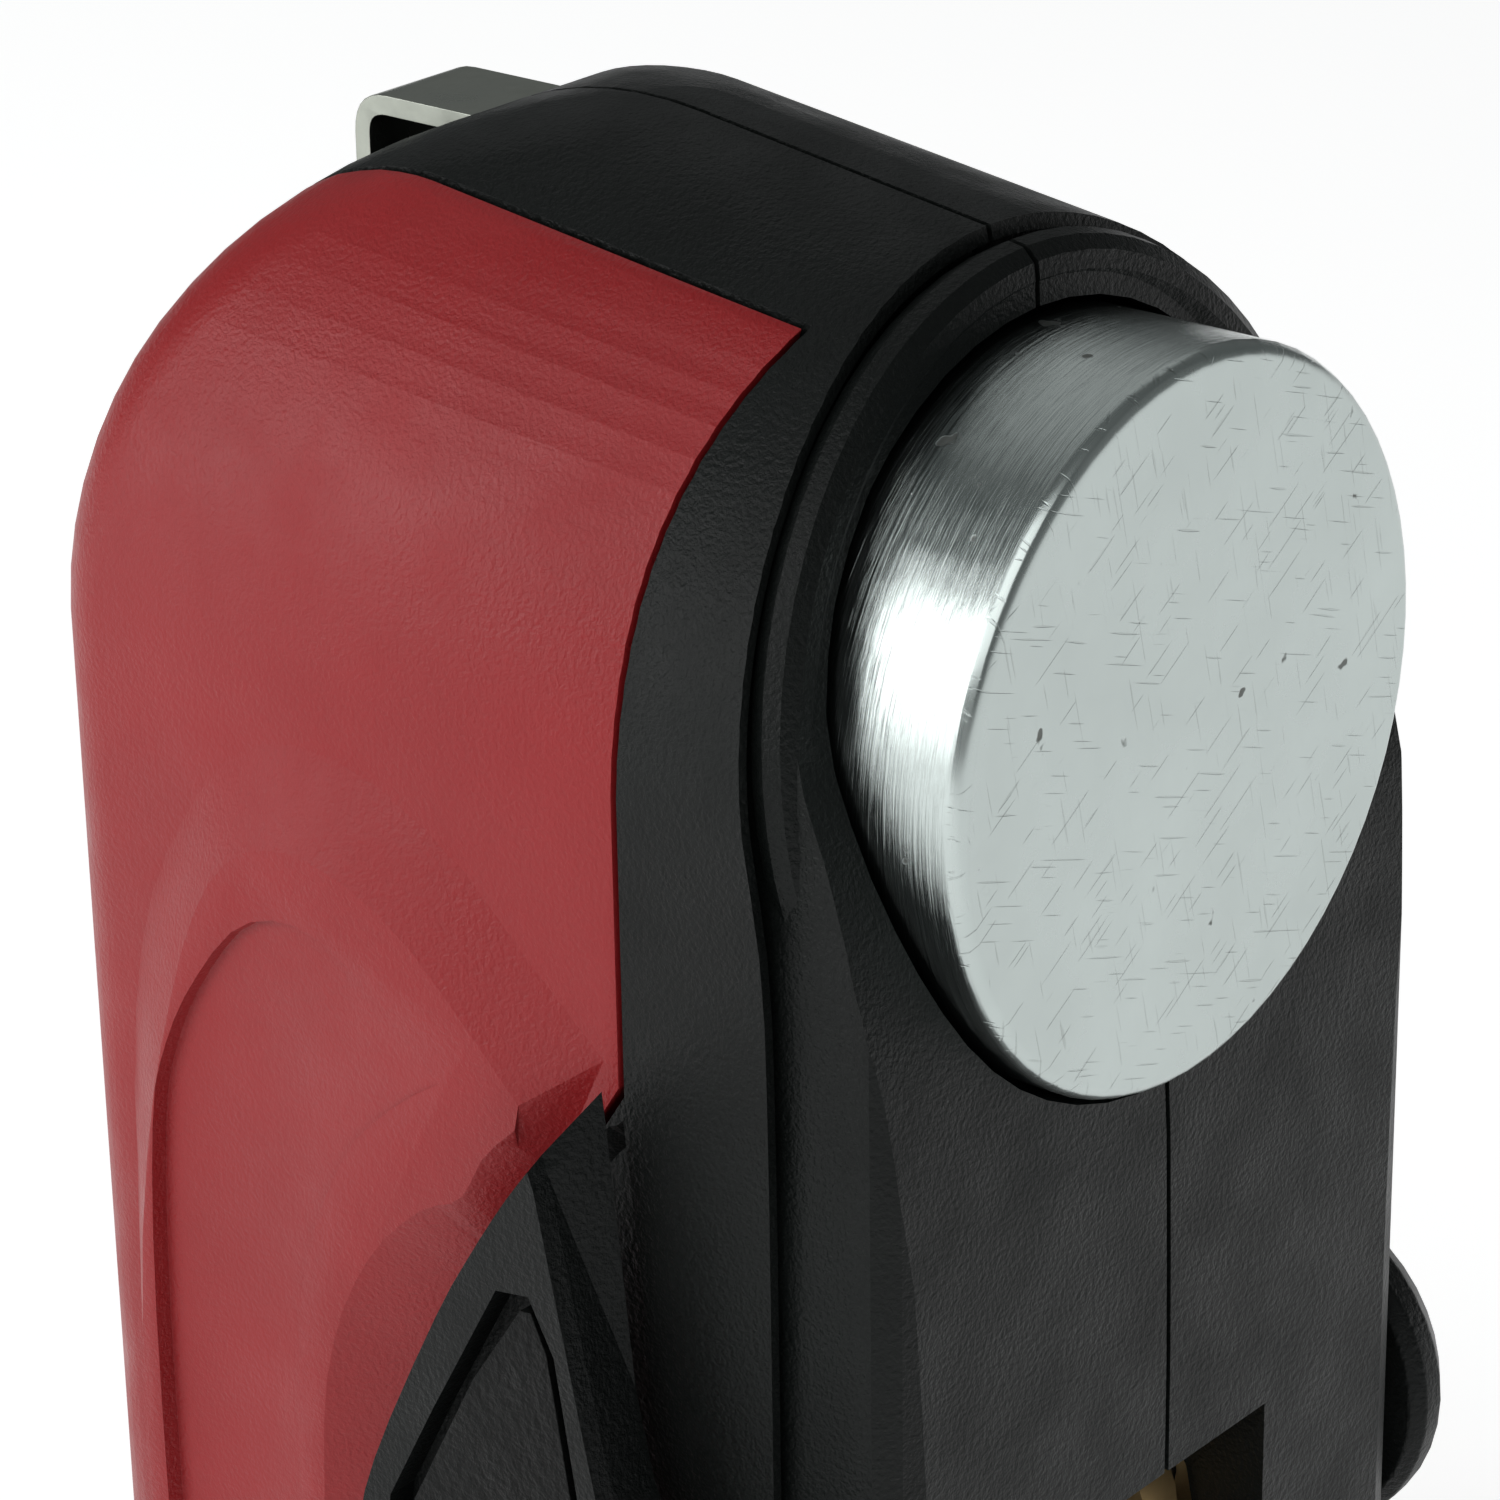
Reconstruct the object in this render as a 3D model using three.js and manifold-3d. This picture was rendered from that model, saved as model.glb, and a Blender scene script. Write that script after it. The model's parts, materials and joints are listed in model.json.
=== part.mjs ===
// Hand-held welding magnet holder. Millimetres, +Z up, the magnet face looks along -Y.
// The origin is the centre of the magnet's face, with the lever at "on".
import * as THREE from 'three';
import { mergeVertices } from 'three/addons/utils/BufferGeometryUtils.js';
import Module from 'manifold-3d';

const wasm = await Module();
wasm.setup();

// ---- driving dimensions ----
const GAP = 0.3; // left between pieces that touch
const MAGNET_R = 16;
const MAGNET_LENGTH = 24;
const HALF_WIDTH = 20;
const ARCH_Z = -0.8; // centre height of the housing's round top
const RISE_PER_MM = 0.0075; // the crown climbs towards the back
const COLLAR_Y = 9.4; // where the round collar starts behind the magnet's face
const CHIN_Y = 0.9; // front plane of the lower body
const BACK_Y = 47.8;
const BACK_CORNER_R = 4;
const BASE_Z = -78;
const BACK_ARC_Y = 26; // the crown starts to fall away here
const BACK_ARC_POWER = 2;
const COVER_THICKNESS = 2.2;
const SHELL_INSET = 5.2; // outer skin to inner wall
const SHIELD_TOP_X = -21.5; // relief on the covers
const COVER_TOP_X = 9.6; // the covers stop this far from the seam
const BORE_R = 16.4;
const BEAD_R = 17.9; // raised ring round the magnet
const BEAD_SECTION = 1.25;
const BEAD_LEAN = THREE.MathUtils.degToRad(8);
const NOSE_R = 18.5; // the part in front of the groove round the collar
const GROOVE_R = 19.5;
const PIVOT_Y = 9.6;
const PIVOT_Z = -42;
const SHAFT_R = 2.5;
const MODULE = 1; // gear tooth module
const TEETH = 8;
const PRESSURE_ANGLE = THREE.MathUtils.degToRad(25);
const PITCH_R = (MODULE * TEETH) / 2;
const ADDENDUM = 0.7;
const DEDENDUM = 1.05;
const BACKLASH = 0.24;
const PINION_HALF_WIDTH = 3.5;
const LEVER_INNER_X = -21.8;
const LEVER_OUTER_X = -25.2;
const LEVER_CHAMFER = 0.9;
const WINDOW = { halfWidth: 7.5, top: -35.4, bottom: -56 };
const SCREW_SPOTS = [[38, 9], [40, -36], [40, -69], [9, -69]];
const SCREW_HEAD_X = 13.5;
const STRAP_HALF_WIDTH = 2.9;
const STRAP_THICKNESS = 0.9;
const STRAP_TOP_Z = 20.2;
const STRAP_BACK_Y = 43.6;

// ---- materials ----
const finish = (color, roughness, metalness) => () =>
  new THREE.MeshStandardMaterial({ color, roughness, metalness });
const BLACK_PLASTIC = finish(0x1d1f1e, 0.6, 0);
const RED_PLASTIC = finish(0x8a2226, 0.55, 0);
const PLATED_STEEL = finish(0xc4cccb, 0.25, 1);
const PLAIN_STEEL = finish(0x8d9193, 0.4, 1);
const MAGNET_GREY = finish(0x55585c, 0.5, 0.8);
const BRONZE = finish(0xa9793c, 0.45, 1);
const BLACK_RUBBER = finish(0x141414, 0.85, 0);

// ---- solids ----
function signedVolume(positions, indices) {
  const a = new THREE.Vector3();
  const b = new THREE.Vector3();
  const c = new THREE.Vector3();
  let volume = 0;
  for (let i = 0; i < indices.length; i += 3) {
    a.fromArray(positions, indices[i] * 3);
    b.fromArray(positions, indices[i + 1] * 3);
    c.fromArray(positions, indices[i + 2] * 3);
    volume += a.dot(b.cross(c));
  }
  return volume;
}

function solid(geometry) {
  const bare = geometry.clone();
  bare.deleteAttribute('normal');
  bare.deleteAttribute('uv');
  const merged = mergeVertices(bare, 1e-4);
  const vertProperties = Float32Array.from(merged.attributes.position.array);
  const triVerts = Uint32Array.from(merged.index.array);
  if (signedVolume(vertProperties, triVerts) < 0) {
    triVerts.reverse();
  }
  return new wasm.Manifold(new wasm.Mesh({ numProp: 3, vertProperties, triVerts }));
}

function geometryOf(body) {
  const mesh = body.getMesh();
  const geometry = new THREE.BufferGeometry();
  geometry.setAttribute('position', new THREE.BufferAttribute(mesh.vertProperties, 3));
  geometry.setIndex(new THREE.BufferAttribute(mesh.triVerts, 1));
  return geometry;
}

function mirrored(body) {
  const geometry = geometryOf(body);
  geometry.scale(-1, 1, 1);
  return solid(geometry);
}

const ALONG_X = new THREE.Matrix4().set(0, 0, 1, 0, 1, 0, 0, 0, 0, 1, 0, 0, 0, 0, 0, 1);
const ALONG_Y = new THREE.Matrix4().set(1, 0, 0, 0, 0, 0, -1, 0, 0, 1, 0, 0, 0, 0, 0, 1);

const outline = (points) => new THREE.Shape(points.map(([u, v]) => new THREE.Vector2(u, v)));

// shape in (y, z), from x = low to x = high
function extrudeX(shape, low, high, curveSegments = 7) {
  const options = { depth: high - low, bevelEnabled: false, curveSegments };
  const geometry = new THREE.ExtrudeGeometry(shape, options);
  return geometry.translate(0, 0, low).applyMatrix4(ALONG_X);
}

// Solid between two outlines of as many (y, z) points, each at its own x.
function loftX(firstX, firstOutline, secondX, secondOutline) {
  const count = firstOutline.length;
  const depth = (x, y) => (typeof x === 'function' ? x(y) : x);
  const positions = [];
  firstOutline.forEach(([y, z]) => positions.push(depth(firstX, y), y, z));
  secondOutline.forEach(([y, z]) => positions.push(depth(secondX, y), y, z));
  const indices = [];
  for (let i = 0; i < count; i += 1) {
    const next = (i + 1) % count;
    indices.push(i, next, count + i, next, count + next, count + i);
  }
  const flat = (points) => points.map(([y, z]) => new THREE.Vector2(y, z));
  const turnsLeft = THREE.ShapeUtils.area(flat(firstOutline)) > 0;
  const cap = (points, start, flip) => {
    THREE.ShapeUtils.triangulateShape(flat(points), []).forEach(([a, b, c]) => {
      indices.push(...(flip ? [start + a, start + c, start + b] : [start + a, start + b, start + c]));
    });
  };
  cap(firstOutline, 0, turnsLeft);
  cap(secondOutline, count, !turnsLeft);
  const geometry = new THREE.BufferGeometry();
  geometry.setAttribute('position', new THREE.Float32BufferAttribute(positions, 3));
  geometry.setIndex(indices);
  return geometry;
}

// smooth curve through the points
const smooth = (points, count) =>
  new THREE.SplineCurve(points.map(([u, v]) => new THREE.Vector2(u, v)))
    .getPoints(count).map(({ x, y }) => [x, y]);

const between = (from, to, share) =>
  from.map(([u, v], i) => [u + (to[i][0] - u) * share, v + (to[i][1] - v) * share]);

// shape in (x, z), from y = low to y = high
function extrudeY(shape, low, high, curveSegments = 40) {
  const options = { depth: high - low, bevelEnabled: false, curveSegments };
  const geometry = new THREE.ExtrudeGeometry(shape, options).applyMatrix4(ALONG_Y);
  return geometry.translate(0, high, 0);
}

// shape in (x, y), from z = low to z = high
function extrudeZ(shape, low, high) {
  const options = { depth: high - low, bevelEnabled: false, curveSegments: 5 };
  return new THREE.ExtrudeGeometry(shape, options).translate(0, 0, low);
}

function block(x0, x1, y0, y1, z0, z1) {
  const geometry = new THREE.BoxGeometry(x1 - x0, y1 - y0, z1 - z0);
  return geometry.translate((x0 + x1) / 2, (y0 + y1) / 2, (z0 + z1) / 2);
}

// cylinder along X
function barX(radius, low, high, y, z, sides = 16) {
  const geometry = new THREE.CylinderGeometry(radius, radius, high - low, sides);
  return geometry.rotateZ(Math.PI / 2).translate((low + high) / 2, y, z);
}

// cylinder along Y, on the magnet's axis
function barY(radius, low, high, sides = 48) {
  const geometry = new THREE.CylinderGeometry(radius, radius, high - low, sides);
  return geometry.translate(0, (low + high) / 2, 0);
}

// profile of [radius, y] points turned about the magnet's axis
function turned(profile, sides = 64) {
  return new THREE.LatheGeometry(outline(profile).getPoints(), sides);
}

// profile of [radius, x] points turned about an axis along X
function turnedX(profile, y, z, sides = 24) {
  const geometry = new THREE.LatheGeometry(outline(profile).getPoints(), sides);
  return geometry.rotateZ(-Math.PI / 2).translate(0, y, z);
}

// ---- housing envelope ----
// Round-topped body with a falling back: level slices, each with two round back corners.
function mainBody(inset) {
  const radius = HALF_WIDTH - inset;
  const crownZ = ARCH_Z + radius;
  const reach = BACK_Y - inset - BACK_ARC_Y;
  const levels = [BASE_Z + inset, 0];
  const steps = 20;
  for (let i = 1; i <= steps; i += 1) {
    levels.push(crownZ * Math.sin((i / steps) * Math.PI * 0.5));
  }
  const cornerSteps = 8;
  const positions = [];
  levels.forEach((level) => {
    const high = Math.min(Math.max(level / crownZ, 0), 1);
    const above = Math.max(level - ARCH_Z, 0);
    const half = Math.max(Math.sqrt(Math.max(radius ** 2 - above ** 2, 0)), 0.02);
    const back = BACK_ARC_Y + reach * Math.max(1 - high ** BACK_ARC_POWER, 0) ** (1 / BACK_ARC_POWER);
    const corner = Math.min(BACK_CORNER_R, half * 0.9);
    const ring = [[-half, -1]];
    for (let i = 0; i <= cornerSteps; i += 1) {
      const angle = Math.PI - (i / cornerSteps) * Math.PI * 0.5;
      ring.push([-(half - corner) + corner * Math.cos(angle), back - corner + corner * Math.sin(angle)]);
    }
    const other = ring.map(([x, y]) => [-x, y]).reverse();
    [...ring, ...other].forEach(([x, y]) => {
      const lift = level > 0 ? 1 + RISE_PER_MM * (y - PIVOT_Y) : 1;
      positions.push(x, y, level * lift);
    });
  });
  const count = positions.length / 3 / levels.length;
  const indices = [];
  for (let row = 0; row < levels.length - 1; row += 1) {
    for (let i = 0; i < count; i += 1) {
      const a = row * count + i;
      const b = row * count + ((i + 1) % count);
      indices.push(a, b, a + count, b, b + count, a + count);
    }
  }
  const top = (levels.length - 1) * count;
  for (let i = 0; i < count / 2 - 1; i += 1) {
    const j = count - 1 - i;
    indices.push(i, j, i + 1, i + 1, j, j - 1);
    indices.push(top + i, top + i + 1, top + j, top + i + 1, top + j - 1, top + j);
  }
  const geometry = new THREE.BufferGeometry();
  geometry.setAttribute('position', new THREE.Float32BufferAttribute(positions, 3));
  geometry.setIndex(indices);
  return solid(geometry);
}

// Side view of everything behind a front line of (y, z) points.
function behind(frontLine, inset) {
  const shape = new THREE.Shape();
  shape.moveTo(frontLine[0][0] + inset, 32);
  frontLine.forEach(([y, z]) => shape.lineTo(y + inset, z));
  const [lastY] = frontLine[frontLine.length - 1];
  shape.lineTo(lastY + inset, BASE_Z + 5);
  shape.lineTo(lastY + 2 + inset, BASE_Z + 1 + inset);
  shape.lineTo(lastY + 4 + inset, BASE_Z + inset - 0.01);
  shape.lineTo(BACK_Y - 5 - inset, BASE_Z + inset - 0.01);
  shape.lineTo(BACK_Y - 2 - inset, BASE_Z + 1 + inset);
  shape.lineTo(BACK_Y + 1, BASE_Z + 5);
  shape.lineTo(BACK_Y + 1, 32);
  return solid(extrudeX(shape, -HALF_WIDTH - 1, HALF_WIDTH + 1));
}

const BAND_FRONT = smooth([[11.2, 21], [9.6, 14], [8.4, 6], [7.6, 0], [6.7, -6], [6.5, -14], [6.5, -30]], 14);
const NOSE_FRONT = smooth(
  [[8.4, 21], [8, 12], [6.6, 4], [5, 0], [3.3, -4.2], [2.1, -8.4], [1.5, -13], [1.1, -19], [CHIN_Y, -30]], 16);

// Everything behind the groove, at full width.
const bandBody = (inset) => mainBody(inset).intersect(behind(BAND_FRONT, inset));

// Front view: a half circle over straight sides that are a little further out.
function archOutline(radius, sides, base) {
  const arch = new THREE.Shape();
  arch.moveTo(-sides, base);
  arch.lineTo(sides, base);
  arch.lineTo(sides, -6);
  arch.lineTo(radius, ARCH_Z);
  arch.absarc(0, ARCH_Z, radius, 0, Math.PI, false);
  arch.lineTo(-sides, -6);
  return arch;
}

// The collar and chin in front of the groove; its flanks slope in to the front face.
function noseBody(inset) {
  const arch = archOutline(NOSE_R - inset, NOSE_R + 0.5 - inset, BASE_Z + inset);
  const flank = [[16.9, CHIN_Y - 1], [16.9, CHIN_Y], [18, 1.3], [18.9, 2.2], [19.1, 4], [19.1, 12]];
  const left = flank.map(([x, y]) => [-x + inset, y]).reverse();
  const plan = outline([...flank.map(([x, y]) => [x - inset, y]), ...left]);
  const front = solid(extrudeY(arch, -1, 12)).intersect(behind(NOSE_FRONT, inset));
  return front.intersect(solid(extrudeZ(plan, BASE_Z - 1, 32)));
}

const housing = (inset) => bandBody(inset).add(noseBody(inset));

// ---- side covers ----
// Outline of one cover in (y, z); grow moves every edge outwards.
function coverRegion(grow) {
  const shape = new THREE.Shape();
  shape.moveTo(14.4 - grow, -13 - grow);
  shape.lineTo(14.4 - grow, 6);
  shape.quadraticCurveTo(14.4 - grow, 13, 12.8 - grow, 17);
  shape.lineTo(12.2 - grow, 32);
  shape.lineTo(BACK_Y + 2, 32);
  shape.lineTo(BACK_Y + 2, -64 - grow);
  shape.lineTo(26 - grow, -64 - grow);
  shape.quadraticCurveTo(25.4 - grow, -44, 22.6 - grow, -32);
  shape.quadraticCurveTo(20.4 - grow, -22 - grow, 17 - grow, -17 - grow);
  return shape;
}

// Raised shield with a wide sloping border.
const SHIELD_END = [[43.4, -60], [30, -60], [26, -44], [21, -26]];
const SHIELD_TOP = [
  ...smooth([[18.6, -14.5], [21.3, -11.9], [25.1, -8.6], [29, -6.9], [32.5, -6.8], [35.2, -8.2], [37.4, -11.4],
    [39.3, -16.5], [41, -23], [42.2, -32], [42.4, -45]], 22),
  ...SHIELD_END,
];
const SHIELD_FOOT = [
  ...smooth([[15.2, -12], [19.4, -8.5], [23.3, -5.1], [28.6, -2.7], [33.5, -2.7], [36.9, -4.9], [39.5, -8.3],
    [41.6, -12.5], [43, -19], [43.6, -30], [43.8, -45]], 22),
  ...SHIELD_END,
];

function shield() {
  const rootX = -HALF_WIDTH + 0.6;
  const share = (rootX + HALF_WIDTH) / (SHIELD_TOP_X + HALF_WIDTH);
  return solid(loftX(SHIELD_TOP_X, SHIELD_TOP, rootX, between(SHIELD_FOOT, SHIELD_TOP, share)));
}

// Leaf-shaped hollow inside the shield, deepest along its back edge.
function leaf() {
  const rim = smooth([[22.8, -14.6], [26.5, -11.6], [30.6, -9.7], [34.4, -10.6], [37.6, -14.2], [39.7, -18],
    [40.8, -22], [41.4, -31], [41.4, -45], [41, -56], [38, -58.6], [34.6, -55], [32.8, -40], [32.5, -34],
    [31.6, -26.4], [28.8, -20], [25.6, -16.6], [22.8, -14.6]], 48).slice(0, -1);
  const middle = [33, -28];
  const floor = rim.map(([y, z]) => [y + (middle[0] - y) * 0.03, z + (middle[1] - z) * 0.02]);
  const floorX = (y) => SHIELD_TOP_X + 0.03 + (0.8 * (y - 22)) / 20;
  return solid(loftX(SHIELD_TOP_X - 1, rim, floorX, floor));
}

// Hollow around the lever; its walls slope in to the floor.
function leverBowl() {
  const floorX = -18.8;
  const lower = [[28, -59], [20, -64], [8, -61], [5.4, -50], [8, -38], [12.4, -29]];
  const rim = [
    ...smooth([[14.2, -13], [17.6, -14.6], [20.6, -17.2], [22.2, -19.8], [24.7, -21.2], [27.7, -24.3],
      [30, -28.7], [31.2, -34.6], [31.4, -46]], 22),
    ...lower,
  ];
  const floor = [
    ...smooth([[14.2, -15.4], [16.2, -17.6], [18.2, -20.8], [19.4, -23.4], [21.2, -25.6], [23.6, -29],
      [25.4, -33], [26.4, -38], [26.8, -46]], 22),
    ...lower.map(([y, z]) => [18 + (y - 18) * 0.86, -44 + (z + 44) * 0.86]),
  ];
  const above = between(rim, floor, -1.2);
  return solid(loftX(floorX, floor, SHIELD_TOP_X - 0.1, rim)).add(
    solid(loftX(SHIELD_TOP_X - 0.09, rim, SHIELD_TOP_X - 4, above)));
}

const screwHoles = SCREW_SPOTS.map(([y, z]) => {
  const clearance = solid(barX(1.8, -8.6, HALF_WIDTH + 3, y, z));
  return clearance.add(solid(barX(3.2, SCREW_HEAD_X - GAP, HALF_WIDTH + 3, y, z)));
});

function leftCover() {
  const region = solid(extrudeX(coverRegion(0), -HALF_WIDTH - 4, -COVER_TOP_X));
  const skin = housing(0).subtract(housing(COVER_THICKNESS));
  const raised = skin.intersect(region).add(shield().intersect(region));
  return raised.subtract(leaf()).subtract(leverBowl());
}

function rightCover() {
  return screwHoles.reduce((body, hole) => body.subtract(hole), mirrored(leftCover()));
}

// ---- shells ----
const boss = (radius, y, z) => solid(barX(radius, -18, 18, y, z));

function strapPath(grow) {
  const top = STRAP_TOP_Z + grow;
  const back = STRAP_BACK_Y + grow;
  const wall = STRAP_THICKNESS + 2 * grow;
  const bend = 2;
  const shape = new THREE.Shape();
  shape.moveTo(29.6 - grow, top - wall);
  shape.lineTo(back - wall - bend * 0.5, top - wall);
  shape.quadraticCurveTo(back - wall, top - wall, back - wall, top - wall - bend * 0.5);
  shape.lineTo(back - wall, 8 - grow);
  shape.lineTo(back, 8 - grow);
  shape.lineTo(back, top - bend);
  shape.quadraticCurveTo(back, top, back - bend, top);
  shape.lineTo(29.6 - grow, top);
  return shape;
}

function wholeShell() {
  const coverSeat = solid(extrudeX(coverRegion(GAP), -HALF_WIDTH - 4, -COVER_TOP_X + GAP));
  const seats = coverSeat.add(mirrored(coverSeat)).subtract(housing(COVER_THICKNESS + GAP));
  const bowl = leverBowl();
  const ring = new THREE.TorusGeometry(BEAD_R, BEAD_SECTION, 10, 64);
  ring.rotateX(Math.PI / 2 - BEAD_LEAN).translate(0, 7, 0);
  const bead = solid(ring).intersect(solid(block(-30, 30, -5, 30, -8, 30)));
  const lip = solid(extrudeY(archOutline(GROOVE_R, GROOVE_R, BASE_Z), -1, 14));
  const groove = lip.subtract(behind(BAND_FRONT, 1));
  let shell = bandBody(0).subtract(groove).add(noseBody(0)).add(bead);
  shell = shell.subtract(seats).subtract(bowl).subtract(mirrored(bowl));
  let hollow = housing(SHELL_INSET);
  const collarTube = solid(barY(19, COLLAR_Y, 22));
  const shaftBosses = boss(7.5, PIVOT_Y, PIVOT_Z).subtract(solid(block(-9, 9, -5, 30, -60, -20)));
  hollow = hollow.subtract(collarTube).subtract(shaftBosses);
  SCREW_SPOTS.forEach(([y, z]) => {
    hollow = hollow.subtract(boss(4, y, z));
  });
  const springRib = solid(block(8.9, 18, 17.6, 26.4, PIVOT_Z - 3, PIVOT_Z + 3));
  hollow = hollow.subtract(springRib);
  const strapSlot = solid(extrudeX(strapPath(GAP), -STRAP_HALF_WIDTH - GAP, STRAP_HALF_WIDTH + GAP));
  const cuts = [
    solid(barY(BORE_R, -20, 35)),
    solid(barX(4.6 + GAP, -22, 22, PIVOT_Y, PIVOT_Z)),
    solid(block(-5, 5, 2.8, 12, -47.5, -33)),
    solid(block(-4, 4, 18, 33, -38, -10)),
    solid(block(-WINDOW.halfWidth, WINDOW.halfWidth, -5, 7, WINDOW.bottom, WINDOW.top)),
    solid(block(-13.3, 13.3, 7.7, 38.3, BASE_Z - 1, BASE_Z + 1.3)),
    strapSlot,
    ...screwHoles,
  ];
  shell = shell.subtract(hollow);
  return cuts.reduce((body, cut) => body.subtract(cut), shell);
}

const shell = wholeShell();
const leftShell = shell.intersect(solid(block(-40, -GAP / 2, -10, 60, -100, 40)));
const rightShell = shell.intersect(solid(block(GAP / 2, 40, -10, 60, -100, 40)));

// ---- magnet ----
function magnetCup() {
  const chamfer = 0.7;
  return turned([
    [0, 0],
    [MAGNET_R - chamfer, 0],
    [MAGNET_R - 0.25, 0.2],
    [MAGNET_R, chamfer],
    [MAGNET_R, MAGNET_LENGTH],
    [13.2, MAGNET_LENGTH],
    [13.2, 10],
    [1.8, 10],
    [1.8, 6],
    [0, 6],
  ]);
}

const magnetCore = turned([[1.8, 10.3], [12.9, 10.3], [12.9, 20], [1.8, 20], [1.8, 10.3]], 24);

// ---- rack and pinion ----
function involute(baseRadius, roll) {
  return [
    baseRadius * (Math.cos(roll) + roll * Math.sin(roll)),
    baseRadius * (Math.sin(roll) - roll * Math.cos(roll)),
  ];
}

function pinion() {
  const base = PITCH_R * Math.cos(PRESSURE_ANGLE);
  const tip = PITCH_R + ADDENDUM;
  const root = PITCH_R - DEDENDUM;
  const halfTooth = (Math.PI * MODULE) / 4 - BACKLASH / 2;
  const pitchAngle = Math.tan(PRESSURE_ANGLE) - PRESSURE_ANGLE;
  const toothAngle = halfTooth / PITCH_R + pitchAngle;
  const tipRoll = Math.sqrt((tip / base) ** 2 - 1);
  const points = [];
  for (let tooth = 0; tooth < TEETH; tooth += 1) {
    const centre = Math.PI / 2 + (tooth * 2 * Math.PI) / TEETH;
    const flank = [[root, -toothAngle]];
    for (let step = 0; step <= 4; step += 1) {
      const [u, v] = involute(base, (tipRoll * step) / 4);
      flank.push([Math.hypot(u, v), -toothAngle + Math.atan2(v, u)]);
    }
    const other = flank.map(([r, angle]) => [r, -angle]).reverse();
    [...flank, ...other].forEach(([r, angle]) => {
      points.push([r * Math.cos(centre + angle), r * Math.sin(centre + angle)]);
    });
  }
  const gear = solid(extrudeX(outline(points), -PINION_HALF_WIDTH, PINION_HALF_WIDTH));
  return gear.subtract(solid(barX(SHAFT_R + 0.1, -5, 5, 0, 0)));
}

// Plate behind the magnet with an arm that carries the rack over the pinion.
function carriage() {
  const pitchZ = PIVOT_Z + PITCH_R;
  const pitch = Math.PI * MODULE;
  const half = pitch / 4 - BACKLASH / 2;
  const lean = Math.tan(PRESSURE_ANGLE);
  const shape = new THREE.Shape();
  shape.moveTo(3.4, pitchZ + DEDENDUM);
  for (let gap = -2; gap <= 1; gap += 1) {
    const centre = PIVOT_Y + (gap + 0.5) * pitch;
    if (centre - half - lean > 3.4) {
      shape.lineTo(centre - half - lean * DEDENDUM, pitchZ + DEDENDUM);
      shape.lineTo(centre - half + lean * ADDENDUM, pitchZ - ADDENDUM);
      shape.lineTo(centre + half - lean * ADDENDUM, pitchZ - ADDENDUM);
      shape.lineTo(centre + half + lean * DEDENDUM, pitchZ + DEDENDUM);
    }
  }
  shape.lineTo(MAGNET_LENGTH + 3.3, pitchZ + DEDENDUM);
  shape.lineTo(MAGNET_LENGTH + 3.3, -8);
  shape.lineTo(MAGNET_LENGTH + GAP, -8);
  shape.lineTo(MAGNET_LENGTH + GAP, pitchZ + 6);
  shape.lineTo(MAGNET_LENGTH + GAP - 2, pitchZ + 3.6);
  shape.lineTo(3.4, pitchZ + 3.6);
  const arm = solid(extrudeX(shape, -3, 3));
  const plate = solid(barY(15, MAGNET_LENGTH + GAP, MAGNET_LENGTH + 3.3, 32));
  return arm.add(plate).subtract(solid(barY(1.8, 20, 30, 16)));
}

const carriageScrew = turned([
  [0, 6.4],
  [1.5, 6.4],
  [1.5, MAGNET_LENGTH + 3.6],
  [3, MAGNET_LENGTH + 3.6],
  [2.7, MAGNET_LENGTH + 5.2],
  [0, MAGNET_LENGTH + 5.2],
], 12);

// ---- lever and shaft ----
const LEVER_OUTLINE = [
  ...smooth([[14.8, -14.4], [16.3, -16.4], [18.4, -19.6], [20.4, -23], [23.9, -30], [25.6, -34.6], [26.4, -40]], 14),
  ...smooth([[25.6, -47], [22, -52], [14, -55], [6, -53], [1.6, -47], [1.4, -41], [5.4, -36], [9.8, -33]], 16),
  [11.4, -29.4],
  [12.3, -25.4],
  [14.5, -15.2],
];

// Hollow in the lever's outer face; the textured pad leaves a slot along its back edge.
const POCKET_OUTLINE = [[15, -20.6], [16.8, -20.9], [20.7, -27.9], [23.4, -33], [23.9, -36.6], [18.5, -38],
  [13.4, -35.4], [12.6, -29.6], [13.7, -23]];
const PAD_OUTLINE = [[14.9, -21.3], [15.5, -21.4], [18.3, -25.6], [22, -32.7], [22.6, -36.2], [18.4, -37.4],
  [13.8, -35], [13, -29.6], [14.1, -23]];

function lever() {
  const root = LEVER_OUTLINE.map(([y, z]) => {
    const nearTip = Math.max(z + 20, 0) / 5.6;
    return [y - 1.1 * nearTip, z + 2.2 * nearTip];
  });
  const edgeX = LEVER_OUTER_X + LEVER_CHAMFER;
  const face = LEVER_OUTLINE.map(([y, z]) => [y + (15 - y) * 0.03, z + (-36 - z) * 0.02]);
  const slab = solid(loftX(edgeX - 0.01, LEVER_OUTLINE, LEVER_INNER_X, root));
  const body = slab.add(solid(loftX(LEVER_OUTER_X, face, edgeX, LEVER_OUTLINE)));
  const pocket = solid(extrudeX(outline(POCKET_OUTLINE), LEVER_OUTER_X - 1, LEVER_OUTER_X + 1.5));
  const socket = solid(barX(SHAFT_R + 0.1, -23.8, -20, PIVOT_Y, PIVOT_Z));
  const screwHole = solid(barX(1.6, -26, -20, PIVOT_Y, PIVOT_Z, 16));
  return body.subtract(pocket).subtract(socket).subtract(screwHole);
}

function shaft() {
  const rod = solid(barX(SHAFT_R, -23.6, 22, PIVOT_Y, PIVOT_Z));
  return rod.subtract(solid(barX(1.6, -26, -18.4, PIVOT_Y, PIVOT_Z, 16)));
}

const leverScrew = turnedX([
  [0, LEVER_OUTER_X - 1.9],
  [1.9, LEVER_OUTER_X - 1.7],
  [3, LEVER_OUTER_X - 0.3],
  [1.3, LEVER_OUTER_X - 0.3],
  [1.3, -19],
  [0, -19],
], PIVOT_Y, PIVOT_Z, 16);

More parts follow.
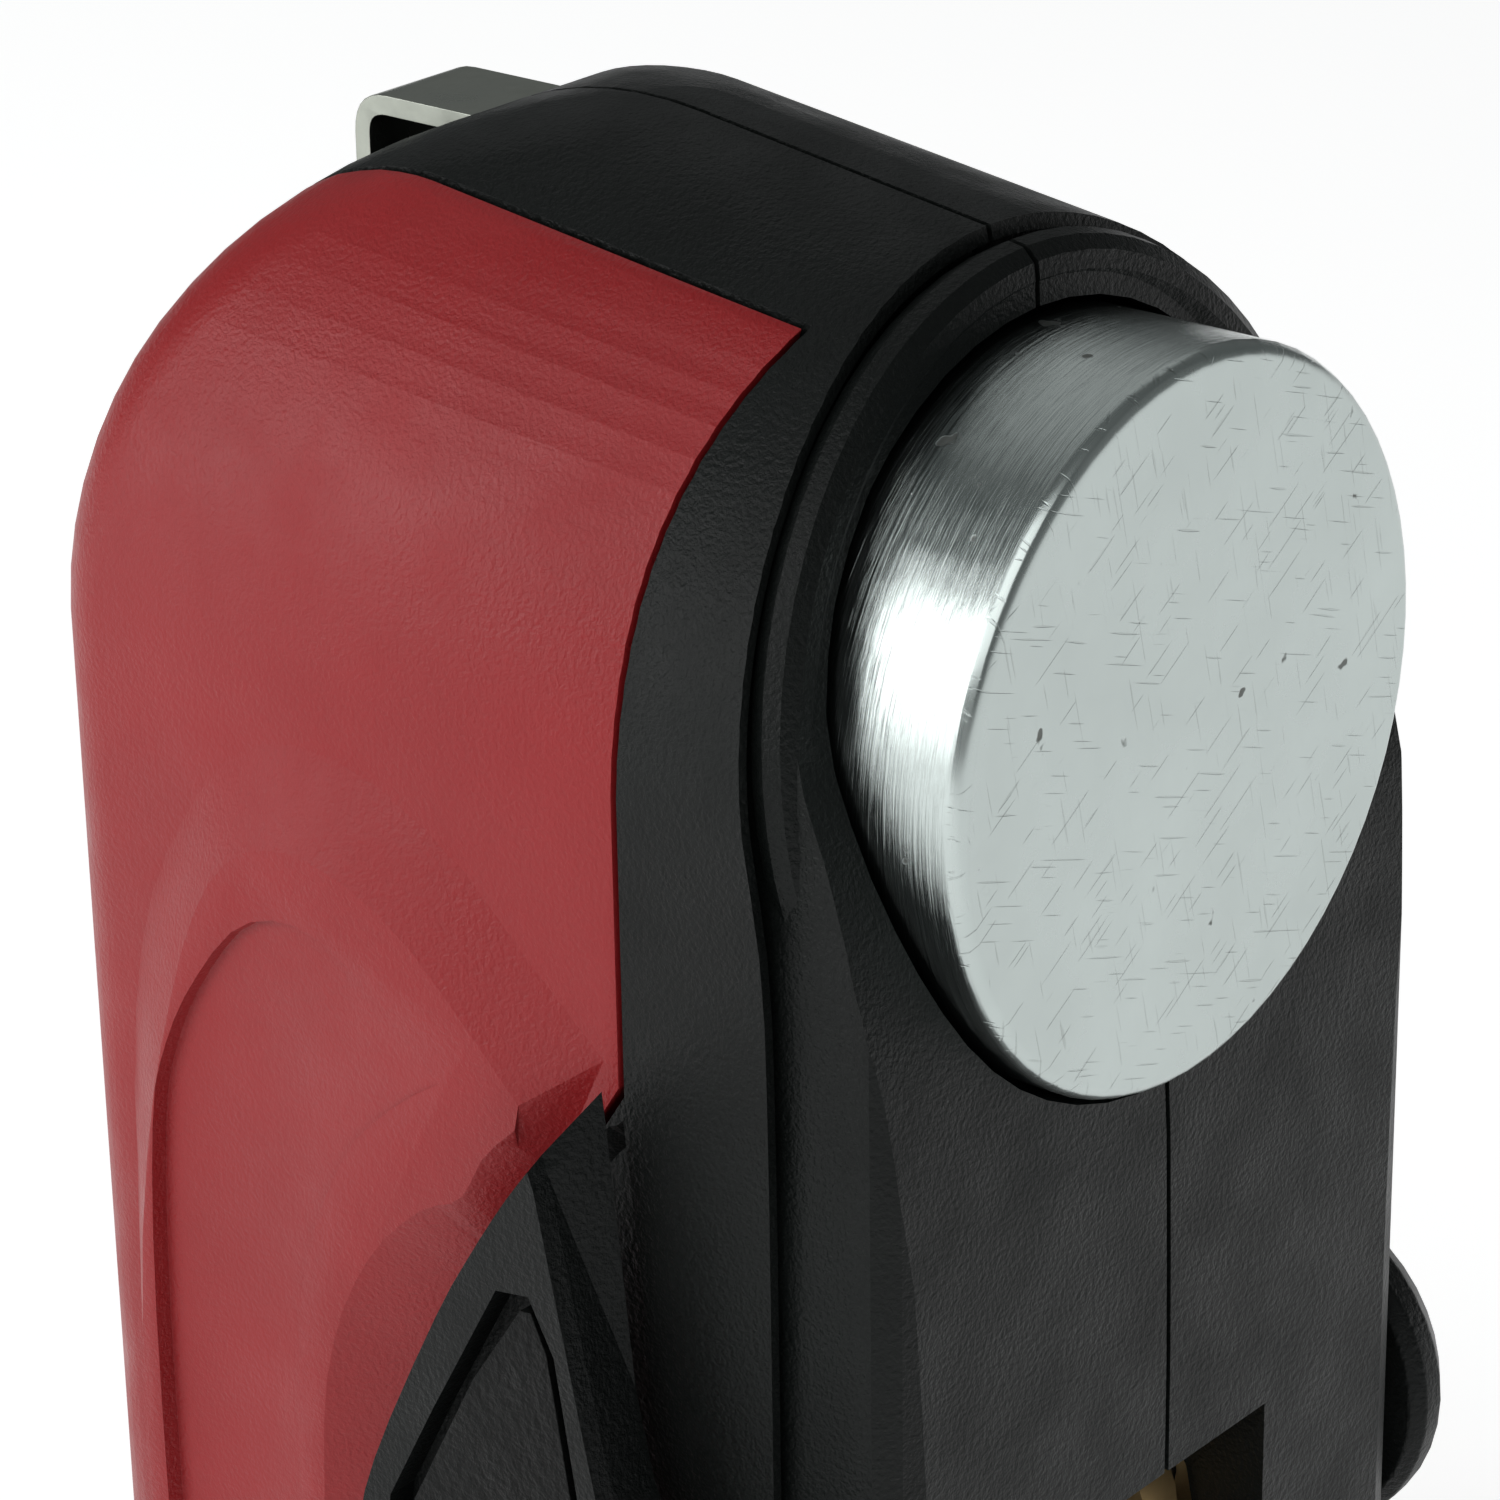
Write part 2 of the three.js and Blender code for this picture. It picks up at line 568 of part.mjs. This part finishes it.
const hubCap = turnedX([
  [SHAFT_R + 0.1, 20.4],
  [8.2, 20.4],
  [8.8, 21],
  [8.7, 22.3],
  [7.6, 23.9],
  [5.6, 25],
  [3, 25.6],
  [0, 25.8],
  [0, 22.3],
  [SHAFT_R + 0.1, 22.3],
  [SHAFT_R + 0.1, 20.4],
], PIVOT_Y, PIVOT_Z, 40);

// Wheel with a curved groove: the ball rubs in it and meets its ends at "on" and "off".
const LEVER_TURN = THREE.MathUtils.degToRad(60);
const GROOVE_STEPS = 8;
const WHEEL_R = 4.6;
const WHEEL_X = 5.6;
const BALL_R = 1.5;

function stopWheel() {
  let wheel = solid(barX(WHEEL_R, WHEEL_X - 1.2, WHEEL_X + 1.2, PIVOT_Y, PIVOT_Z, 24));
  wheel = wheel.subtract(solid(barX(SHAFT_R + 0.1, 3, 8, PIVOT_Y, PIVOT_Z)));
  for (let step = 0; step <= GROOVE_STEPS; step += 1) {
    const turn = (LEVER_TURN * step) / GROOVE_STEPS;
    const y = PIVOT_Y + (WHEEL_R + 0.6) * Math.cos(turn);
    const z = PIVOT_Z + (WHEEL_R + 0.6) * Math.sin(turn);
    wheel = wheel.subtract(solid(barX(BALL_R + GAP + 0.1, 3, 8, y, z, 16)));
  }
  return wheel;
}

const brakeBall = new THREE.SphereGeometry(BALL_R, 12, 8);
brakeBall.translate(WHEEL_X, PIVOT_Y + WHEEL_R + 0.9, PIVOT_Z);

class Helix extends THREE.Curve {
  getPoint(t) {
    const turn = t * this.turns * 2 * Math.PI;
    return new THREE.Vector3(
      this.radius * Math.cos(turn), t * this.length, this.radius * Math.sin(turn));
  }
}

function brakeSpring() {
  const path = new Helix();
  path.turns = 4;
  path.radius = 1.3;
  path.length = 7;
  const wire = outline([[0.28, 0], [0, 0.28], [-0.28, 0], [0, -0.28]]);
  const geometry = new THREE.ExtrudeGeometry(wire, { steps: 40, extrudePath: path });
  return geometry.translate(WHEEL_X, PIVOT_Y + WHEEL_R + 2.9, PIVOT_Z);
}

// Cup that holds the spring; it stands on the right shell's screw post.
function springCup() {
  const start = PIVOT_Y + WHEEL_R + 4.4;
  const cup = turned([[1.9, start], [3, start], [3, start + 7.4], [0, start + 7.4],
    [0, start + 6], [1.9, start + 6], [1.9, start]], 16);
  return cup.translate(WHEEL_X, 0, PIVOT_Z);
}

const bush = (low, high) => turnedX(
  [[SHAFT_R + 0.1, low], [4.6, low], [4.6, high], [SHAFT_R + 0.1, high], [SHAFT_R + 0.1, low]],
  PIVOT_Y, PIVOT_Z, 16);

function shellScrew(y, z) {
  const head = SCREW_HEAD_X;
  return turnedX([
    [0, -8],
    [1.5, -8],
    [1.5, head],
    [2.9, head],
    [2.9, head + 1.4],
    [2.2, head + 2.2],
    [1.2, head + 2.2],
    [1.2, head + 1],
    [0, head + 1],
  ], y, z, 12);
}

// ---- assembly ----
const holder = new THREE.Group();

function place(name, piece, material) {
  const body = piece.isBufferGeometry ? solid(piece) : piece;
  const mesh = new THREE.Mesh(geometryOf(body), material());
  mesh.name = name;
  holder.add(mesh);
  return mesh;
}

place('left_shell', leftShell, BLACK_PLASTIC);
place('right_shell', rightShell, BLACK_PLASTIC);
place('left_cover', leftCover(), RED_PLASTIC);
place('right_cover', rightCover(), RED_PLASTIC);
place('magnet_cup', magnetCup(), PLATED_STEEL);
place('magnet_core', magnetCore, MAGNET_GREY);
place('carriage', carriage(), PLAIN_STEEL);
place('carriage_screw', carriageScrew, PLAIN_STEEL);
place('pinion', pinion(), PLAIN_STEEL).position.set(0, PIVOT_Y, PIVOT_Z);
place('shaft', shaft(), PLAIN_STEEL);
place('stop_wheel', stopWheel(), BRONZE);
place('brake_ball', brakeBall, PLATED_STEEL);
place('brake_spring', brakeSpring(), PLAIN_STEEL);
place('spring_cup', springCup(), BRONZE);
place('left_bush', bush(-19.8, -9.4), BRONZE);
place('right_bush', bush(9.4, 19.8), BRONZE);
place('lever', lever(), BLACK_PLASTIC);
const leverPad = extrudeX(outline(PAD_OUTLINE), LEVER_OUTER_X, LEVER_OUTER_X + 1.2);
place('lever_pad', leverPad, BLACK_RUBBER);
place('lever_screw', leverScrew, PLAIN_STEEL);
place('hub_cap', hubCap, BLACK_PLASTIC);
const strap = extrudeX(strapPath(0), -STRAP_HALF_WIDTH, STRAP_HALF_WIDTH);
place('hanging_strap', strap, PLATED_STEEL);
place('foot_pad', block(-13, 13, 8, 38, BASE_Z - 2, BASE_Z + 1), BLACK_RUBBER);
SCREW_SPOTS.forEach(([y, z], i) => {
  place(`shell_screw_${i + 1}`, shellScrew(y, z), PLAIN_STEEL);
});

export default holder;
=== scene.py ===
import json
import math

import bpy
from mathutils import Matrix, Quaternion, Vector


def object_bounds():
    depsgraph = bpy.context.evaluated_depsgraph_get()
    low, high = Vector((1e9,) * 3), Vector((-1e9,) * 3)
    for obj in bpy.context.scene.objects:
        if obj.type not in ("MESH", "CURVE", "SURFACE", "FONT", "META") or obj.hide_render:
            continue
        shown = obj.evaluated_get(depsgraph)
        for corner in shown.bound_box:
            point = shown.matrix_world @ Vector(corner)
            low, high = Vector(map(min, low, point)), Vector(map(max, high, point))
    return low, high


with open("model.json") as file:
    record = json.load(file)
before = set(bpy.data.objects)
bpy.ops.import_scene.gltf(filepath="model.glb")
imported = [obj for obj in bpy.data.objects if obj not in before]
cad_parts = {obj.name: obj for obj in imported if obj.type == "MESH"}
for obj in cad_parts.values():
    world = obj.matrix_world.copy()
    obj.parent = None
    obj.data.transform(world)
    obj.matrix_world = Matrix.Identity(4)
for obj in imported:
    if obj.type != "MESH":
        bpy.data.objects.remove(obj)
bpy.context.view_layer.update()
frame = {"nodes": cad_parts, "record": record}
NODES = frame["nodes"]

MM = 0.001

# ---- camera: front left, a little above, looking at the head of the holder ----
VIEW_AZIMUTH = -49.9
VIEW_ELEVATION = 23.0
VIEW_ROLL = -0.97
VIEW_DISTANCE = 214.8 * MM
VIEW_AIM = Vector((-11.9, 13.9, -0.6)) * MM
VIEW_LENS = 126.2


def make_camera():
    a, e = math.radians(VIEW_AZIMUTH), math.radians(VIEW_ELEVATION)
    back = Vector((math.sin(a) * math.cos(e), -math.cos(a) * math.cos(e), math.sin(e)))
    data = bpy.data.cameras.new("camera")
    data.lens = VIEW_LENS
    data.sensor_width = 36
    data.clip_start = 0.01
    camera = bpy.data.objects.new("camera", data)
    camera.rotation_mode = "QUATERNION"
    camera.location = VIEW_AIM + back * VIEW_DISTANCE
    roll = Quaternion((0, 0, 1), math.radians(VIEW_ROLL))
    camera.rotation_quaternion = (-back).to_track_quat("-Z", "Y") @ roll
    bpy.context.collection.objects.link(camera)
    bpy.context.scene.camera = camera


# ---- materials ----
class Surface:
    """A node material built from the top down: colour, roughness and bump on one Principled shader."""

    def __init__(self, name, base, roughness, metallic=0.0, specular=0.5):
        self.material = bpy.data.materials.new(name)
        self.material.use_nodes = True
        self.tree = self.material.node_tree
        self.shader = self.tree.nodes["Principled BSDF"]
        self.shader.inputs["Base Color"].default_value = (*base, 1)
        self.shader.inputs["Roughness"].default_value = roughness
        self.shader.inputs["Metallic"].default_value = metallic
        self.shader.inputs["Specular IOR Level"].default_value = specular
        self.place = self.node("ShaderNodeTexCoord").outputs["Object"]
        self.normal = None

    def node(self, kind, **values):
        made = self.tree.nodes.new(kind)
        for key, value in values.items():
            if key in made.inputs:
                made.inputs[key].default_value = value
            else:
                setattr(made, key, value)
        return made

    def link(self, source, target):
        self.tree.links.new(source, target)

    def stretched(self, scale):
        mapping = self.node("ShaderNodeMapping")
        mapping.inputs["Scale"].default_value = scale
        self.link(self.place, mapping.inputs["Vector"])
        return mapping.outputs["Vector"]

    def noise(self, scale, detail=2.0, place=None, roughness=0.5):
        noise = self.node("ShaderNodeTexNoise", Scale=scale, Detail=detail, Roughness=roughness)
        self.link(place or self.place, noise.inputs["Vector"])
        return noise.outputs["Fac"]

    def ramp(self, source, stops):
        ramp = self.node("ShaderNodeValToRGB")
        elements = ramp.color_ramp.elements
        while len(elements) < len(stops):
            elements.new(0.5)
        for element, (position, value) in zip(elements, stops):
            element.position = position
            element.color = (value, value, value, 1) if isinstance(value, float) else (*value, 1)
        self.link(source, ramp.inputs["Fac"])
        return ramp.outputs["Color"]

    def math(self, operation, first, second):
        made = self.node("ShaderNodeMath", operation=operation)
        for index, value in enumerate((first, second)):
            if isinstance(value, (int, float)):
                made.inputs[index].default_value = value
            else:
                self.link(value, made.inputs[index])
        return made.outputs["Value"]

    def bump(self, height, distance, strength=1.0):
        bump = self.node("ShaderNodeBump", Distance=distance, Strength=strength)
        self.link(height, bump.inputs["Height"])
        if self.normal:
            self.link(self.normal, bump.inputs["Normal"])
        self.normal = bump.outputs["Normal"]
        self.link(self.normal, self.shader.inputs["Normal"])

    def colour(self, output):
        self.link(output, self.shader.inputs["Base Color"])

    def roughness(self, output):
        self.link(output, self.shader.inputs["Roughness"])


def shade(colour, factor):
    return tuple(channel * factor for channel in colour)


def moulded(name, base, rough, grain_size, grain_depth, spread=0.25, specular=0.3):
    """Moulded plastic: spark-eroded grain, slow tone changes and a few shiny rubbed spots."""
    s = Surface(name, base, rough, specular=specular)
    grain = s.noise(1 / (grain_size * MM), 3.0, roughness=0.6)
    cloud = s.noise(90, 3.0)
    mixed = s.math("ADD", s.math("MULTIPLY", grain, 0.45), s.math("MULTIPLY", cloud, 0.55))
    s.colour(s.ramp(mixed, [(0.36, shade(base, 1 - spread)), (0.62, shade(base, 1 + spread))]))
    rub = s.noise(260, 4.0)
    s.roughness(s.ramp(rub, [(0.3, rough + 0.08), (0.7, rough - 0.08)]))
    s.bump(grain, grain_depth * MM)
    return s.material


HAIRLINE_SCALE = (7000, 900, 330)
HAIRLINE_SOFTNESS = 0.05


def hairlines(s, degrees, threshold):
    """Sparse straight scratches across the magnet's face, all running one way."""
    turn = s.node("ShaderNodeMapping")
    turn.inputs["Rotation"].default_value = (0, math.radians(degrees), 0)
    s.link(s.place, turn.inputs["Vector"])
    stretch = s.node("ShaderNodeMapping")
    stretch.inputs["Scale"].default_value = HAIRLINE_SCALE
    stretch.inputs["Location"].default_value = (degrees, 3.1, degrees * 0.37)
    s.link(turn.outputs["Vector"], stretch.inputs["Vector"])
    line = s.noise(1.0, 0.0, stretch.outputs["Vector"])
    return s.ramp(line, [(threshold, 0.0), (threshold + HAIRLINE_SOFTNESS, 1.0)])


PLATING = (0.5, 0.555, 0.54)
PIT_COLOUR = (0.1, 0.1, 0.09)
RING_SCALE = (25, 4200, 25)
RING_DEPTH = 0.03 * MM
SCRATCH_DEPTH = 0.01 * MM


def plated():
    """Nickel-plated turned steel: fine rings round the side, a satin face with scratches and nicks."""
    s = Surface("plated_steel", PLATING, 0.24, metallic=1.0)
    split = s.node("ShaderNodeSeparateXYZ")
    s.link(s.place, split.inputs["Vector"])
    # 0 on the flat face, 1 on the side, fading between 0.4 and 0.75 mm behind the face
    side = s.ramp(s.math("MULTIPLY", split.outputs["Y"], 400), [(0.16, 0.0), (0.3, 1.0)])
    face = s.math("SUBTRACT", 1.0, side)
    rings = s.noise(1.0, 5.0, s.stretched(RING_SCALE), roughness=0.75)
    marks = s.math("ADD", hairlines(s, 14, 0.73), hairlines(s, 71, 0.74))
    marks = s.math("MULTIPLY", s.math("ADD", marks, hairlines(s, 122, 0.74)), face)
    pits = s.ramp(s.noise(520, 3.0), [(0.7, 0.0), (0.73, 1.0)])
    stain = s.noise(120, 5.0, roughness=0.6)

    dull = s.math("ADD", s.math("MULTIPLY", stain, 0.2), 0.17)
    dull = s.math("ADD", dull, s.math("MULTIPLY", pits, 0.35))
    s.roughness(s.math("SUBTRACT", dull, s.math("MULTIPLY", side, 0.1)))

    light = s.math("ADD", 0.5, s.math("MULTIPLY", stain, 0.35))
    dark = s.math("ADD", s.math("MULTIPLY", pits, 0.45), s.math("MULTIPLY", marks, 0.14))
    tone = s.math("SUBTRACT", light, dark)
    s.colour(s.ramp(tone, [(0.1, PIT_COLOUR), (0.55, shade(PLATING, 0.88)), (0.8, shade(PLATING, 1.1))]))

    s.bump(s.math("MULTIPLY", rings, side), RING_DEPTH)
    satin = s.math("MULTIPLY", s.noise(900, 2.0), 0.1)
    s.bump(s.math("SUBTRACT", satin, s.math("ADD", marks, pits)), SCRATCH_DEPTH)
    return s.material


def metal(name, base, rough, grain=(3000, 400, 3000), depth=0.008):
    """Cold-worked or turned metal: directional grain with uneven dulling."""
    s = Surface(name, base, rough, metallic=1.0)
    lines = s.noise(1.0, 4.0, s.stretched(grain), roughness=0.7)
    blotch = s.noise(300, 4.0)
    s.colour(s.ramp(blotch, [(0.3, shade(base, 0.75)), (0.7, shade(base, 1.15))]))
    s.roughness(s.ramp(blotch, [(0.3, rough + 0.12), (0.7, rough - 0.08)]))
    s.bump(lines, depth * MM)
    return s.material


# ---- rounded edges: bevel width, and the angle in degrees from which an edge is rounded ----
WELD_DISTANCE = 0.003 * MM
FLAT_ANGLE = 0.1
FINE_EDGE = (0.12 * MM, 28)
EDGES = {
    "left_shell": (0.35 * MM, 14),
    "right_shell": (0.35 * MM, 14),
    "left_cover": (0.45 * MM, 12),
    "right_cover": (0.45 * MM, 12),
    "lever": (0.35 * MM, 14),
    "foot_pad": (0.4 * MM, 28),
    "lever_pad": (0.05 * MM, 28),
}
COVERS = ("left_cover", "right_cover")
MERGED_FLATS = ("left_shell", "right_shell") + COVERS


def round_edges(node, width, degrees):
    """Joins the facets, rounds the edges sharper than the given angle and shades the rest smooth."""
    node.data.shade_smooth()
    weld = node.modifiers.new("weld", "WELD")
    weld.merge_threshold = WELD_DISTANCE
    if node.name in MERGED_FLATS:
        flatten = node.modifiers.new("flatten", "DECIMATE")
        flatten.decimate_type = "DISSOLVE"
        flatten.angle_limit = math.radians(FLAT_ANGLE)
    bevel = node.modifiers.new("edges", "BEVEL")
    bevel.width = width
    bevel.segments = 2
    bevel.limit_method = "ANGLE"
    bevel.angle_limit = math.radians(degrees)
    bevel.miter_outer = "MITER_ARC"
    # the covers are curved all over, and face-weighted shading would show their facets
    if node.name not in COVERS:
        even = node.modifiers.new("even_shading", "WEIGHTED_NORMAL")
        even.keep_sharp = True
        even.mode = "FACE_AREA_WITH_ANGLE"


def finish_nodes():
    slots = {
        "black_plastic": moulded("black_plastic", (0.005, 0.0062, 0.0058), 0.4, 0.26, 0.09, 0.25, 0.15),
        "black_lever": moulded("black_lever", (0.005, 0.006, 0.0057), 0.42, 0.3, 0.1, 0.25, 0.15),
        "red_plastic": moulded("red_plastic", (0.265, 0.0125, 0.0145), 0.4, 0.24, 0.06, 0.06, 0.32),
        "plated_steel": plated(),
        "strap_steel": metal("strap_steel", (0.36, 0.38, 0.335), 0.32),
        "plain_steel": metal("plain_steel", (0.5, 0.51, 0.52), 0.35),
        "magnet_grey": metal("magnet_grey", (0.3, 0.31, 0.32), 0.55, (900, 900, 900)),
        "bronze": metal("bronze", (0.6, 0.42, 0.2), 0.45, (1200, 1200, 1200)),
        "black_rubber": moulded("black_rubber", (0.0035, 0.004, 0.0038), 0.5, 0.5, 0.2, 0.5, 0.12),
    }
    for part in frame["record"]["subparts"]:
        node = NODES[part["node"]]
        node.data.materials.clear()
        node.data.materials.append(slots[part["material_slot"]])
        round_edges(node, *EDGES.get(part["node"], FINE_EDGE))


# ---- studio: lights as name, place, size and power, all aimed at the magnet's head ----
LIGHT_AIM = (0, 0.02, -0.01)
LIGHTS = (
    ("window_left", (-0.64, 0.48, 0.26), (0.5, 0.5), 3.0),
    ("key_top", (-0.6, -0.1, 0.65), (0.8, 0.8), 3.3),
    ("front_panel", (0.35, -0.85, 0.25), (1.3, 1.0), 0.2),
    ("dim_back", (0.35, 0.5, 0.6), (0.8, 0.5), 0.4),
)
SKY_COLOUR = (0.9, 0.95, 0.95, 1)
SKY_STRENGTH = 0.14
FLOOR_SIZE = 6.0
FLOOR_GLOW = 0.7


def area_light(name, place, size, power):
    data = bpy.data.lights.new(name, "AREA")
    data.shape = "RECTANGLE"
    data.size, data.size_y = size
    data.energy = power
    lamp = bpy.data.objects.new(name, data)
    lamp.location = place
    lamp.rotation_euler = (Vector(LIGHT_AIM) - Vector(place)).to_track_quat("-Z", "Y").to_euler()
    bpy.context.collection.objects.link(lamp)


def light_table():
    """White floor lit evenly from below, so that it stays pale behind the object."""
    s = Surface("light_table", (0.7, 0.7, 0.7), 0.85, specular=0.1)
    s.shader.inputs["Emission Color"].default_value = (1, 1, 1, 1)
    s.shader.inputs["Emission Strength"].default_value = FLOOR_GLOW
    s.bump(s.noise(900, 3.0), 0.01 * MM)
    return s.material


def make_studio():
    bpy.context.scene.view_settings.view_transform = "Standard"
    world = bpy.data.worlds.new("studio")
    world.use_nodes = True
    backdrop = world.node_tree.nodes["Background"]
    backdrop.inputs["Color"].default_value = SKY_COLOUR
    backdrop.inputs["Strength"].default_value = SKY_STRENGTH
    bpy.context.scene.world = world

    floor_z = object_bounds()[0][2]
    half = FLOOR_SIZE / 2
    corners = [(x, y, floor_z) for x, y in ((-half, -half), (half, -half), (half, half), (-half, half))]
    mesh = bpy.data.meshes.new("floor")
    mesh.from_pydata(corners, [], [(0, 1, 2, 3)])
    floor = bpy.data.objects.new("floor", mesh)
    bpy.context.collection.objects.link(floor)
    floor.data.materials.append(light_table())

    for light in LIGHTS:
        area_light(*light)


make_camera()
finish_nodes()
make_studio()
